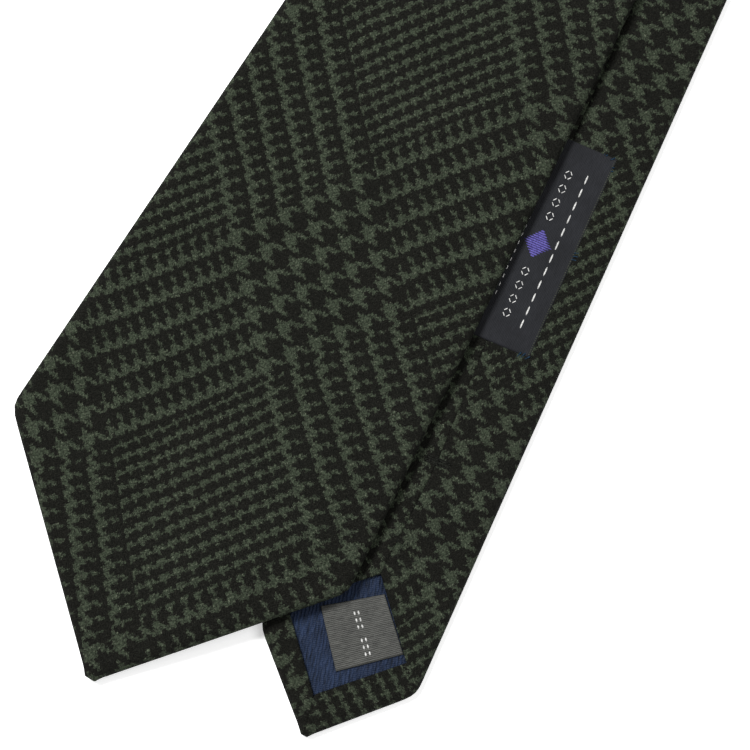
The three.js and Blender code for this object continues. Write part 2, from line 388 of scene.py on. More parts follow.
def threads_for(half, F, r, v, tag, lip):
    """thread coordinates of every vertex: for the side fold and for the point's fold"""
    x, y = half.plan(r, v)
    p = np.stack([x, y], -1)
    l, rr = half.edges(v)
    sl, sr = half.slopes(v)
    cx, cy, ang = half.centre(v)
    ca, sa = np.cos(ang), np.sin(ang)

    def turn(nr, nv):
        return np.stack([nr * ca - nv * sa, nr * sa + nv * ca], -1)

    qr = np.sqrt(1 + sr * sr)
    ql = np.sqrt(1 + sl * sl)
    nR = turn(1 / qr, -sr / qr)
    nL = turn(-1 / ql, sl / ql)
    d, dr, dl = half.depth(r, v)
    dr, dl = np.clip(dr, 0, None), np.clip(dl, 0, None)
    face = p + nR * (dr - arc_depth(dr) + ARC)[..., None] + nL * (dl - arc_depth(dl) + ARC)[..., None]
    fR = p + nR * (dr + arc_depth(dr) + ARC)[..., None]
    fL = p + nL * (dl + arc_depth(dl) + ARC)[..., None]
    # the point's two folds are straight lines from the blunt end to each shoulder
    a = np.stack(half.plan(np.full_like(r, half.apex_r), np.zeros_like(v)), -1)
    vs = half.shoulder
    er = float(half.edges(vs)[1]) + 0.6
    el = float(half.edges(vs)[0]) - 0.6
    _, _, a0 = half.centre(0.0)
    c0, s0 = math.cos(float(a0)), math.sin(float(a0))

    def line(ex):
        t = np.array([ex - half.apex_r, vs])
        t = t / np.hypot(*t)
        n = np.array([t[1], -t[0]]) * (1 if ex > 0 else -1)
        return np.array([n[0] * c0 - n[1] * s0, n[0] * s0 + n[1] * c0])

    nr, nl = line(er), line(el)
    dR = np.clip(-((p - a) @ nr) + 1.0, 0, None)
    dL = np.clip(-((p - a) @ nl) + 1.0, 0, None)
    tR = p + nr * (dR + arc_depth(dR) + ARC)[..., None]
    tL = p + nl * (dL + arc_depth(dL) + ARC)[..., None]
    side = np.where((tag == "F")[..., None], face, np.where((tag == "R")[..., None], fR, fL))
    tip = np.where((tag == "F")[..., None], face, np.where((tag == "R")[..., None], tR, tL))
    return F(side[..., 0], side[..., 1]), F(tip[..., 0], tip[..., 1])


def hem_zone(half, r, v):
    """true where the back is folded over the point's edges and not over the side"""
    _, rt, _, lf = half.window
    er, el = float(half.edges(half.shoulder)[1]), float(half.edges(half.shoulder)[0])
    vr = np.interp(r, [rt[0], er], [rt[1], half.shoulder])
    vl = np.interp(-r, [-lf[0], -el], [lf[1], half.shoulder])
    return np.where(r > 0, v < vr, v < vl)


def grid_mesh(name, P, uv_side=None, uv_tip=None, hem=None, flip=False):
    ny, nx = P.shape[:2]
    verts = row_frame(P.reshape(-1, 3))
    idx = np.arange(ny * nx).reshape(ny, nx)
    quads = np.stack([idx[:-1, :-1], idx[:-1, 1:], idx[1:, 1:], idx[1:, :-1]], -1).reshape(-1, 4)
    if flip:
        quads = quads[:, ::-1]
    me = bpy.data.meshes.new(name)
    me.from_pydata(verts.tolist(), [], quads.tolist())
    if uv_side is not None:
        layer = me.uv_layers.new(name="cloth")
        us = uv_side.reshape(-1, 2)
        q = quads.reshape(-1)
        vals = us[q]
        if uv_tip is not None:
            ut = uv_tip.reshape(-1, 2)
            in_hem = hem.reshape(-1)[quads].mean(1) > 0.5
            vals = np.where(np.repeat(in_hem, 4)[:, None], ut[q], vals)
        layer.data.foreach_set("uv", (vals / 96.0).astype(np.float32).ravel())
    ob = bpy.data.objects.new(name, me)
    bpy.context.scene.collection.objects.link(ob)
    for poly in me.polygons:
        poly.use_smooth = True
    return ob


def apply(ob, kind, **kw):
    m = ob.modifiers.new(kind.lower(), kind)
    for k, v in kw.items():
        setattr(m, k, v)
    dg = bpy.context.evaluated_depsgraph_get()
    new = bpy.data.meshes.new_from_object(ob.evaluated_get(dg))
    old = ob.data
    ob.modifiers.clear()
    ob.data = new
    new.name = ob.name
    bpy.data.meshes.remove(old)
    for p in ob.data.polygons:
        p.use_smooth = True
    return ob


def face_grid(half, vs, shears, F, nf, nb):
    secs = [section(half, v, nf, nb) for v in vs]
    r = np.array([[c[0] for c in s] for s in secs])
    sign = np.array([[c[1] for c in s] for s in secs], float)
    drop = np.array([[c[2] for c in s] for s in secs])
    tag = np.array([[c[3] for c in s] for s in secs])
    lip = np.array([[c[4] for c in s] for s in secs])
    v0 = np.repeat(np.array(vs)[:, None], r.shape[1], 1)
    sh = np.repeat(np.array(shears)[:, None], r.shape[1], 1)
    v = sheared(half, r, v0, tag, sh)
    # keep each column at its share of the width where the row leans
    off = half.offset(r, v0) - drop * np.clip(half.offset(r, v0) / H, 0, 1)
    off = np.where(sign < 0, off - pucker(half, r, v), off)
    x, y = half.plan(r, v)
    soft = 1 + 0.04 * wobble(x, y, 11 if half.name == "blade" else 12, 38)
    z = half.mid(x, y, v)
    P = np.stack([x, y, z + half.side * sign * off * soft], -1)
    uvs, uvt = threads_for(half, F, r, v, tag, lip)
    hem = hem_zone(half, r, v) & (tag != "F")
    return P, uvs, uvt, hem, (r, v, tag, off * sign)


def ramp(v, a, b):
    t = min(max((v - a) / (b - a), 0), 1)
    return t


def pinch(P, half, rows, depth=0.55):
    """returns P unchanged; the cloth is not drawn in at the join"""
    for k, row in enumerate(rows):
        pass
    return P


NF, NB = 44, 12


def end_rows(join, shear_len=95.0):
    return lambda v: ramp(v, join - shear_len, join)


# --- blade piece
tip_rows = [0.0, 0.12, 0.3, 0.6, 1.0, 1.5, 2.1, 2.9, 3.9, 5.0, 6.4]
blade_vs = tip_rows[:-1] + rows_of(6.4, 60, 1.6) + rows_of(60, 230, 2.2)[1:] + rows_of(230, BLADE_JOIN - 3, 4.5, 4.5)[1:] + [BLADE_JOIN - 1.6, BLADE_JOIN - 0.7, BLADE_JOIN - 0.25]
f = end_rows(BLADE_JOIN)
P, us, ut, hem, info = face_grid(BLADE, blade_vs, [f(v) for v in blade_vs], blade_threads, NF, NB)


def tuck(P, half, n, back=False):
    """the last rows roll in to the seam"""
    mid = half.mid(P[..., 0], P[..., 1], 0)
    amount = [0.30, 0.14, 0.04] if n == 3 else [0.1]
    order = range(len(amount))
    for i in order:
        k = (P.shape[0] - 1 - i) if not back else i
        f = 1 - amount[i] if i < len(amount) else 1
        P[k, :, 2] = mid[k] + (P[k, :, 2] - mid[k]) * f
    return P


P = tuck(P, BLADE, 3)
blade_cloth = grid_mesh("blade_cloth", P, us, ut, hem)

# --- tail piece
tip_rows_t = [0.0, 0.12, 0.3, 0.6, 1.0, 1.5, 2.1, 2.8, 3.6, 4.6]
TJV = (TAIL_JOIN - TP[1]) / 0.9951
tail_vs = tip_rows_t[:-1] + rows_of(4.6, 75, 1.0) + rows_of(75, 215, 2.0)[1:] + rows_of(215, TJV - 3, 4.5, 4.5)[1:] + [TJV - 1.6, TJV - 0.7, TJV - 0.25]
f = end_rows(TJV)
P, us, ut, hem, info = face_grid(TAIL, tail_vs, [f(v) for v in tail_vs], tail_threads, 22, 20)
P = tuck(P, TAIL, 3)
tail_cloth = grid_mesh("tail_cloth", P, us, ut, hem, flip=True)

# --- neck piece: from the blade's join, round the fold, to the tail's join
g = lambda v, j: 1 - ramp(v, j, j + 95)
nb_vs = [BLADE_JOIN + 0.25, BLADE_JOIN + 0.7, BLADE_JOIN + 1.6] + rows_of(BLADE_JOIN + 4, FOLD_Y - 6, 5, 5) + [FOLD_Y - 3, FOLD_Y]
Pb, usb, _, _, ib = face_grid(BLADE, nb_vs, [g(v, BLADE_JOIN) for v in nb_vs], neck_threads, 22, 12)
Pb = tuck(Pb, BLADE, 3, back=True)
nt_vs = [TJV + 0.25, TJV + 0.7, TJV + 1.6] + rows_of(TJV + 4, TAIL_V_END - 6, 5, 5) + [TAIL_V_END - 3, TAIL_V_END]


def neck_tail_threads(x, y):
    # the cloth goes on past the fold, so the tail's side is the blade's mirrored about it
    return neck_threads(x, 2 * FOLD_Y - y + 8.3)


Pt, ust, _, _, it = face_grid(TAIL, nt_vs, [g(v, TJV) for v in nt_vs], neck_tail_threads, 22, 12)
Pt = tuck(Pt, TAIL, 3, back=True)
ring, ring_uv, ring_w = [], [], []
r_last = ib[0][-1]
off_last = ib[3][-1]
n_dir = np.array([math.cos(CREASE), math.sin(CREASE), 0])
out_dir = np.array([-math.sin(CREASE), math.cos(CREASE), 0])
up = np.array([0, 0, 1.0])
axis_pt = np.array([0, FOLD_Y, AXIS_Z])
for k in range(1, 16):
    a = math.pi * k / 16
    radial = out_dir * math.sin(a) + up * math.cos(a)
    rho = NECK_Z - AXIS_Z
    q = axis_pt + r_last[:, None] * n_dir + (rho + off_last)[:, None] * radial
    ring.append(q)
    yy = FOLD_Y + rho * a
    l_, r_ = BLADE.edges(FOLD_Y)
    base = usb[-1] + (np.array([0.946, -0.918]) * (rho * a))
    ring_uv.append(base)
    ring_w.append(1 - a / math.pi)
Pn = np.concatenate([Pb, np.array(ring), Pt[::-1]], 0)
usn = np.concatenate([usb, np.array(ring_uv), ust[::-1]], 0)
wn = np.concatenate([np.ones(len(Pb)), np.array(ring_w), np.zeros(len(Pt))])
neck_cloth = grid_mesh("neck_cloth", Pn, usn)
neck_weights_rows = np.repeat(wn, Pn.shape[1])


def weigh(ob, rows_w, rest=None):
    """sets the bend weights of a piece that crosses the fold, as kept through its thickening"""
    at = ob.data.attributes["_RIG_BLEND"]
    at.data.foreach_set("value", rows_w.astype(np.float32))


def thicken(ob, t, w=None):
    """closed cloth of thickness t behind the surface; returns bend weights for the new points"""
    if w is not None:
        at = ob.data.attributes.new("keep_w", "FLOAT", "POINT")
        at.data.foreach_set("value", w.astype(np.float32))
    apply(ob, "SOLIDIFY", thickness=t / 1000.0, offset=-1.0, use_even_offset=False, use_quality_normals=True, use_rim=True)
    if w is not None:
        at = ob.data.attributes["keep_w"]
        out = np.zeros(len(ob.data.vertices), np.float32)
        at.data.foreach_get("value", out)
        ob.data.attributes.remove(at)
        return out


thicken(blade_cloth, CLOTH_T)
thicken(tail_cloth, CLOTH_T)
w_neck = thicken(neck_cloth, CLOTH_T, neck_weights_rows)

# ------------------------------------------------------------------ interlining and linings
def inner_rows(half, vs, inset, lo, hi, cols, side_off):
    out = []
    for v in vs:
        l, r = (float(a) for a in half.edges(v))
        k = np.linspace(-1, 1, cols)
        c, w = (l + r) / 2, max((r - l) / 2 - inset, 0.25)
        rr = c + k * w
        x, y = half.plan(rr, np.full(cols, v))
        z = half.mid(x, y, v) + half.side * side_off
        out.append(np.stack([x, y, z], -1))
    return np.array(out)


ivb = rows_of(3.0, FOLD_Y, 5, 8)
ivt = rows_of(3.0, TAIL_V_END, 5, 8)
IOFF = 0.1  # towards the face
A = inner_rows(BLADE, ivb, 2.1, 0, 0, 15, IOFF)
B = inner_rows(TAIL, ivt, 2.1, 0, 0, 15, IOFF)
mid_ring = []
rr = np.linspace(-1, 1, 15) * 13.9
for k in range(1, 14):
    a = math.pi * k / 14
    radial = out_dir * math.sin(a) + up * math.cos(a)
    mid_ring.append(axis_pt + rr[:, None] * n_dir + (NECK_Z - AXIS_Z + IOFF) * radial)
PI_ = np.concatenate([A, np.array(mid_ring), B[::-1]], 0)
wi = np.concatenate([np.ones(len(A)), 1 - np.arange(1, 14) / 14.0, np.zeros(len(B))])
uvi = PI_[..., :2].copy()
interlining = grid_mesh("interlining", PI_, uvi)
at = interlining.data.attributes.new("keep_w", "FLOAT", "POINT")
at.data.foreach_set("value", np.repeat(wi, 15).astype(np.float32))
apply(interlining, "SOLIDIFY", thickness=0.0011, offset=0.0, use_rim=True)
at = interlining.data.attributes["keep_w"]
w_inter = np.zeros(len(interlining.data.vertices), np.float32)
at.data.foreach_get("value", w_inter)
interlining.data.attributes.remove(at)


def lining(half, name, v1, cols, step):
    vs = rows_of(1.8, v1, step, step)
    rows = []
    for v in vs:
        l, r = (float(a) for a in half.edges(v))
        sl, sr = (float(a) for a in half.slopes(v))
        k = np.linspace(-1, 1, cols)
        c, w = (l + r) / 2, max((r - l) / 2 - 1.7, 0.15)
        rr = c + k * w
        d, _, _ = half.depth(rr, np.full(cols, v))
        x, y = half.plan(rr, np.full(cols, v))
        lift = 0.78 * np.clip(d / 3.5, 0.15, 1) ** 0.5 + 0.05 * wobble(x, y, 21, 13) + 0.035 * wobble(x, y, 22, 6)
        z = half.mid(x, y, v) - half.side * lift
        rows.append(np.stack([x, y, z], -1))
    G = np.array(rows)
    ob = grid_mesh(name, G, G[..., :2].copy() * 0.96, flip=(half.side > 0))
    apply(ob, "SOLIDIFY", thickness=0.0002, offset=-1.0, use_rim=True)
    return ob


blade_lining = lining(BLADE, "blade_lining", 98, 70, 1.2)
tail_lining = lining(TAIL, "tail_lining", 62, 60, 0.6)

# ------------------------------------------------------------------ threads
def tube(points, radius, sides=6, flat=1.0):
    """vertices and faces of a closed thread through points (plan mm)"""
    p = np.asarray(points, float)
    n = len(p)
    t = np.gradient(p, axis=0)
    t /= np.linalg.norm(t, axis=1)[:, None] + 1e-9
    ref = np.array([0, 0, 1.0])
    vs, fs = [], []
    for i in range(n):
        a = np.cross(t[i], ref)
        if np.linalg.norm(a) < 1e-3:
            a = np.cross(t[i], [1.0, 0, 0])
        a /= np.linalg.norm(a)
        b = np.cross(a, t[i])
        rad = radius * (0.55 if i in (0, n - 1) else 1.0)
        for k in range(sides):
            q = 2 * math.pi * k / sides
            vs.append(p[i] + rad * (math.cos(q) * a + flat * math.sin(q) * b))
    for i in range(n - 1):
        for k in range(sides):
            k2 = (k + 1) % sides
            fs.append((i * sides + k, i * sides + k2, (i + 1) * sides + k2, (i + 1) * sides + k))
    fs.append(tuple(range(sides))[::-1])
    fs.append(tuple((n - 1) * sides + k for k in range(sides)))
    return vs, fs


def joined(name, parts):
    V, Fs = [], []
    for vs, fs in parts:
        o = len(V)
        V += [list(v) for v in vs]
        Fs += [tuple(i + o for i in f) for f in fs]
    me = bpy.data.meshes.new(name)
    me.from_pydata(row_frame(np.array(V)).tolist(), [], Fs)
    ob = bpy.data.objects.new(name, me)
    bpy.context.scene.collection.objects.link(ob)
    for p in me.polygons:
        p.use_smooth = True
    return ob


def back_point(half, r, v, lift=0.0):
    r, v = np.asarray(r, float), np.asarray(v, float)
    off = half.offset(r, v) - pucker(half, r, v)
    x, y = half.plan(r, v)
    z = half.mid(x, y, v)
    return np.stack([x, y, z - half.side * (off + lift)], -1)


def front_point(half, r, v, lift=0.0):
    r, v = np.asarray(r, float), np.asarray(v, float)
    off = half.offset(r, v)
    x, y = half.plan(r, v)
    z = half.mid(x, y, v)
    return np.stack([x, y, z + half.side * (off + lift)], -1)


def stitch(pts, radius, lift=0.1, back=None, n=7):
    """one short stitch: a low arch between two points"""
    a, b = np.array(pts[0], float), np.array(pts[1], float)
    t = np.linspace(0, 1, n)
    p = a + (b - a) * t[:, None]
    return p, np.sin(t * math.pi) * lift


def slip_stitches(half, name, v0, v1):
    parts = []
    v = v0
    rng = np.random.default_rng(7)
    while v < v1:
        c = float(np.interp(v, *zip(*half.seam)))
        ln = 2.2 + rng.uniform(-0.3, 0.3)
        t = np.linspace(0, 1, 7)
        rr = c + (t - 0.5) * 0.75
        vv = v + ln * t
        lift = -0.12 + 0.2 * np.sin(t * math.pi)
        q = np.stack([back_point(half, float(a), float(b), float(z)) for a, b, z in zip(rr, vv, lift)])
        parts.append(tube(q, 0.11, 5))
        v += 7.5 + rng.uniform(-0.5, 0.5)
    return joined(name, parts)


blade_slip = slip_stitches(BLADE, "blade_slip_stitches", 86, 462)
tail_slip = slip_stitches(TAIL, "tail_slip_stitches", 44, TJV - 8)


def bar_tack(half, name, r0, v0, length, lean, turns=6, radius=0.17, lift=0.16):
    parts = []
    rng = np.random.default_rng(5)
    for k in range(turns):
        dv = (k - (turns - 1) / 2) * radius * 1.35
        t = np.linspace(-0.5, 0.5, 9)
        rr = r0 + t * (length + rng.uniform(-0.4, 0.4))
        vv = v0 + dv + lean * t + rng.uniform(-0.08, 0.08)
        h = lift + 0.12 * np.cos(t * math.pi) + 0.06 * (k % 2) - 0.5 * (np.abs(t) > 0.49)
        q = np.stack([back_point(half, float(a), float(b), float(z)) for a, b, z in zip(rr, vv, h)])
        parts.append(tube(q, radius, 6))
    return joined(name, parts)


tail_tack = bar_tack(TAIL, "tail_bar_tack_thread", 2.1, 63.6, 7.0, 0.5, turns=7, radius=0.17, lift=0.3)
blade_tack = bar_tack(BLADE, "blade_bar_tack_thread", 0.0, 96.0, 6.4, 0.4, turns=7)


def join_stitches(half, name, vj):
    parts = []
    for tag, sgn in (("F", 1), ("R", -1), ("L", -1)):
        l, r = (float(a) for a in half.edges(vj))
        if tag == "F":
            rs = np.arange(l + 2.2, r - 2.2, 2.1)
        elif tag == "R":
            rs = np.arange(1.2, r - 2.2, 2.1)
        else:
            rs = np.arange(l + 2.2, -1.2, 2.1)
        for r0 in rs:
            t = np.linspace(0, 1, 5)
            rr = r0 + 1.3 * t
            vv = sheared(half, rr, np.full(5, vj), np.full(5, tag), 1.0)
            lift = -0.78 + 0.1 * np.sin(t * math.pi)
            fn = front_point if sgn > 0 else back_point
            q = np.stack([fn(half, float(a), float(b), float(z)) for a, b, z in zip(rr, vv, lift)])
            parts.append(tube(q, 0.12, 5))
    return joined(name, parts)


blade_seam = join_stitches(BLADE, "blade_join_stitches", BLADE_JOIN)
tail_seam = join_stitches(TAIL, "tail_join_stitches", TJV)

# ------------------------------------------------------------------ labels
def patch(name, half, corners, nu, nv, thick, lift, wave=0.0, round_edge=0.35, seed=3, level=None):
    """a rounded, slightly uneven tape over the back of a half; corners in r, v order (0,0),(1,0),(1,1),(0,1)"""
    c = np.array(corners, float)
    us_ = np.concatenate([[0, 0.012, 0.03], np.linspace(0.06, 0.94, nu), [0.97, 0.988, 1]])
    vs_ = np.concatenate([[0, 0.005, 0.014], np.linspace(0.03, 0.97, nv), [0.986, 0.995, 1]])
    U, Vv = np.meshgrid(us_, vs_)
    rv = (
        c[0] * ((1 - U) * (1 - Vv))[..., None]
        + c[1] * (U * (1 - Vv))[..., None]
        + c[2] * (U * Vv)[..., None]
        + c[3] * ((1 - U) * Vv)[..., None]
    )
    r, v = rv[..., 0], rv[..., 1]
    lu = np.linalg.norm(c[1] - c[0])
    lv = np.linalg.norm(c[3] - c[0])
    de = np.minimum(np.minimum(U, 1 - U) * lu, np.minimum(Vv, 1 - Vv) * lv)
    edge = np.sqrt(np.clip(1 - (1 - np.clip(de / round_edge, 0, 1)) ** 2, 0, 1))
    x, y = half.plan(r, v)
    if level is None:
        base = half.mid(x, y, v) - half.side * (half.offset(r, v) - 0.35 * pucker(half, r, v))
    else:
        base = half.mid(x, y, v) - half.side * level(r, v)
    wv = wave * wobble(x, y, seed, 17)
    top = base - half.side * (lift + wv + thick * (0.45 + 0.55 * edge))
    bot = base - half.side * (lift + wv + thick * 0.35 * (1 - edge))
    uv = np.stack([U * lu, Vv * lv], -1) / 10.0
    ny, nx = U.shape
    TP_ = np.stack([x, y, top], -1)
    BT_ = np.stack([x, y, bot], -1)
    allv = np.concatenate([TP_.reshape(-1, 3), BT_.reshape(-1, 3)])
    n = ny * nx
    idx = np.arange(n).reshape(ny, nx)
    q1 = np.stack([idx[:-1, :-1], idx[:-1, 1:], idx[1:, 1:], idx[1:, :-1]], -1).reshape(-1, 4)
    q2 = q1[:, ::-1] + n
    if half.side > 0:
        q1, q2 = q1[:, ::-1], q2[:, ::-1]
    rim = np.concatenate([idx[0, :], idx[1:, -1], idx[-1, -2::-1], idx[-2:0:-1, 0]])
    q3 = []
    for i in range(len(rim)):
        a, b = rim[i], rim[(i + 1) % len(rim)]
        f_ = [b, a, a + n, b + n]
        q3.append(f_ if half.side < 0 else f_[::-1])
    faces = np.concatenate([q1, q2, np.array(q3)])
    me = bpy.data.meshes.new(name)
    me.from_pydata(row_frame(allv).tolist(), [], faces.tolist())
    layer = me.uv_layers.new(name="cloth")
    u2 = np.concatenate([uv.reshape(-1, 2), uv.reshape(-1, 2)])
    layer.data.foreach_set("uv", u2[faces.reshape(-1)].astype(np.float32).ravel())
    ob = bpy.data.objects.new(name, me)
    bpy.context.scene.collection.objects.link(ob)
    for p in me.polygons:
        p.use_smooth = True

    def on(uu, vv, up_=0.0):
        """a point of the tape's top, from mm along its sides"""
        a_, b_ = uu / lu, vv / lv
        q = c[0] * (1 - a_) * (1 - b_) + c[1] * a_ * (1 - b_) + c[2] * a_ * b_ + c[3] * (1 - a_) * b_
        r_, v_ = float(q[0]), float(q[1])
        x_, y_ = half.plan(r_, v_)
        if level is None:
            z_ = half.mid(x_, y_, v_) - half.side * (half.offset(r_, v_) - 0.35 * pucker(half, r_, v_))
        else:
            z_ = half.mid(x_, y_, v_) - half.side * level(np.array(r_), np.array(v_))
        z_ = z_ - half.side * (lift + wave * wobble(np.array(x_), np.array(y_), seed, 17) + thick + up_)
        return np.array([float(x_), float(y_), float(z_)])

    return ob, on, lu, lv


# woven label on the tail's back: r from -7.6 to 10.4, v from 91 to 136.8
woven, on_w, WL, WV = patch("woven_label", TAIL, [(-7.7, 91.0), (10.5, 91.4), (10.3, 137.0), (-7.6, 136.6)], 26, 60, 0.42, 0.05, wave=0.05)
marks, motif = [], []


def dash(on, u0, v0, u1, v1, rad=0.2, n=5, sink=0.06):
    t = np.linspace(0, 1, n)
    q = np.stack([on(u0 + (u1 - u0) * k, v0 + (v1 - v0) * k, -sink) for k in t])
    return tube(q, rad, 6, 0.55)


# two woven lines of plain dashes, and a row of small diamonds between them
rng = np.random.default_rng(12)
v = 5.0
while v < WV - 5.2:
    marks.append(dash(on_w, 13.9, v, 13.9, v + 2.0, 0.22))
    v += 3.0
v = 9.5
while v < WV - 9.5:
    marks.append(dash(on_w, 6.2, v, 6.2, v + 1.1, 0.16))
    v += 1.9
cu = 10.0
for k, vc in enumerate(np.arange(7.0, WV - 6.0, 3.15)):
    if abs(vc - WV / 2) < 5.0:
        continue
    for a_, b_ in (((0, -1.1), (0.95, 0)), ((0.95, 0), (0, 1.1)), ((0, 1.1), (-0.95, 0)), ((-0.95, 0), (0, -1.1))):
        marks.append(dash(on_w, cu + a_[0], vc + a_[1], cu + b_[0], vc + b_[1], 0.15, 4))
for k in range(-6, 7):
    half_w = 3.1 * (1 - abs(k) / 7.0)
    motif.append(dash(on_w, cu - half_w, WV / 2 + k * 0.46, cu + half_w, WV / 2 + k * 0.46, 0.24, 6))
edge_loops = []
v = 0.5
while v < WV - 0.6:
    edge_loops.append(dash(on_w, WL - 0.42, v, WL - 0.30, v + 0.34, 0.10, 3, 0.02))
    v += 0.52
label_edge = joined("woven_label_selvedge", edge_loops)
label_marks = joined("woven_label_pattern", marks)
label_motif = joined("woven_label_lozenge", motif)

# hand stitches that hold the label's corners, one per node
STITCHES = {
    1: [((15.6, 45.2), (16.6, 46.6)), ((16.9, 44.9), (18.0, 46.0)), ((15.2, 45.4), (15.9, 46.9))],
    2: [((17.8, 43.4), (19.2, 44.3)), ((17.9, 42.7), (19.3, 43.2))],
    3: [((17.9, 23.2), (19.3, 23.6)), ((17.9, 22.5), (19.2, 22.7)), ((17.8, 23.9), (19.1, 24.4))],
    4: [((16.4, -0.9), (17.1, 0.7)), ((17.3, -0.7), (18.3, 0.4)), ((15.7, -0.9), (16.2, 0.6))],
    5: [((-1.0, 44.4), (0.5, 44.0)), ((-1.0, 43.7), (0.4, 43.4))],
    6: [((-1.0, 1.6), (0.5, 2.0)), ((-1.0, 2.3), (0.4, 2.6))],
}
stitch_obs = {}
for i, pairs in STITCHES.items():
    parts = []
    for (u0, v0), (u1, v1) in pairs:
        t = np.linspace(0, 1, 7)
        q = []
        for k in t:
            uu, vv = u0 + (u1 - u0) * k, v0 + (v1 - v0) * k
            inside = (0 <= uu <= WL) and (0 <= vv <= WV)
            q.append(on_w(uu, vv, (0.06 if inside else -0.36) + 0.12 * math.sin(k * math.pi)))
        parts.append(tube(np.array(q), 0.15, 6))
    stitch_obs[i] = joined(f"label_tack_{i}", parts)

# care label: satin tape, sewn in under the flap's edge along (12.2,23.7)-(3.0,34.0)


def care_level(r, v):
    return 1.02 + 0 * np.asarray(r)


care, on_c, CL, CV = patch("care_tape", TAIL, [(12.0, 23.9), (3.2, 33.8), (-8.0, 26.0), (0.56, 14.8)], 22, 26, 0.2, 0.04, wave=0.06, round_edge=0.2, seed=9, level=care_level)
care_marks = []
# two short lines of generic dashes where a care tape has its print
for start, count, pitch, ln in ((1.5, 3, 1.45, 0.8), (7.2, 3, 1.45, 0.8)):
    for k in range(count):
        for side in (-0.45, 0.45):
            care_marks.append(dash(on_c, start + k * pitch, 7.2 + side, start + k * pitch + ln, 7.2 + side, 0.24, 4, 0.06))
care_print = joined("care_tape_marks", care_marks)

# keeper loop: a woven band across the blade's back, sewn at its ends
keeper, on_k, KL, KV = patch("keeper_band", BLADE, [(-22.0, 187.5), (22.0, 187.5), (22.0, 202.5), (-22.0, 202.5)], 44, 14, 0.38, 0.32, wave=0.05, seed=14)
keeper_ends = {}
for i, u0 in ((1, 1.0), (2, KL - 1.0)):
    parts = []
    for vv in np.arange(0.9, KV - 0.8, 1.25):
        t = np.linspace(0, 1, 6)
        q = np.array([on_k(u0 - 0.8 + 1.6 * k, vv + 0.35 * k, 0.02 + 0.13 * math.sin(k * math.pi)) for k in t])
        parts.append(tube(q, 0.15, 6))
    keeper_ends[i] = joined(f"keeper_end_tack_{i}", parts)

# ------------------------------------------------------------------ materials
def new_mat(name):
    m = bpy.data.materials.new(name)
    m.use_nodes = True
    nt = m.node_tree
    b = nt.nodes["Principled BSDF"]
    return m, nt, b


class N:
    """short node building"""

    def __init__(self, nt):
        self.nt = nt

    def node(self, t, **kw):
        n = self.nt.nodes.new(t)
        for k, v in kw.items():
            setattr(n, k, v)
        return n

    def put(self, socket, value):
        if isinstance(value, bpy.types.NodeSocket):
            self.nt.links.new(value, socket)
        else:
            socket.default_value = value

    def m(self, op, a, b=None, c=None, clamp=False):
        n = self.node("ShaderNodeMath", operation=op, use_clamp=clamp)
        self.put(n.inputs[0], a)
        if b is not None:
            self.put(n.inputs[1], b)
        if c is not None:
            self.put(n.inputs[2], c)
        return n.outputs[0]

    def mix(self, f, a, b):
        n = self.node("ShaderNodeMix", data_type="FLOAT")
        self.put(n.inputs[0], f)
        self.put(n.inputs[2], a)
        self.put(n.inputs[3], b)
        return n.outputs[0]

    def col(self, f, a, b, blend="MIX"):
        n = self.node("ShaderNodeMix", data_type="RGBA", blend_type=blend)
        self.put(n.inputs[0], f)
        self.put(n.inputs[6], a)
        self.put(n.inputs[7], b)
        return n.outputs[2]

    def noise(self, vec, scale, detail=2.0, rough=0.5, dims="3D"):
        n = self.node("ShaderNodeTexNoise", noise_dimensions=dims)
        self.put(n.inputs["Vector"], vec)
        n.inputs["Scale"].default_value = scale
        n.inputs["Detail"].default_value = detail
        n.inputs["Roughness"].default_value = rough
        return n.outputs["Fac"]

    def vec(self, x, y, z=0.0):
        n = self.node("ShaderNodeCombineXYZ")
        self.put(n.inputs[0], x)
        self.put(n.inputs[1], y)
        self.put(n.inputs[2], z)
        return n.outputs[0]

    def step(self, x, lo, hi):
        n = self.node("ShaderNodeMapRange", interpolation_type="SMOOTHSTEP")
        self.put(n.inputs[0], x)
        n.inputs[1].default_value = lo
        n.inputs[2].default_value = hi
        n.inputs[3].default_value = 0.0
        n.inputs[4].default_value = 1.0
        return n.outputs[0]

    def bump(self, height, strength, distance, normal=None):
        n = self.node("ShaderNodeBump")
        self.put(n.inputs["Height"], height)
        n.inputs["Strength"].default_value = strength
        n.inputs["Distance"].default_value = distance
        if normal is not None:
            self.put(n.inputs["Normal"], normal)
        return n.outputs[0]


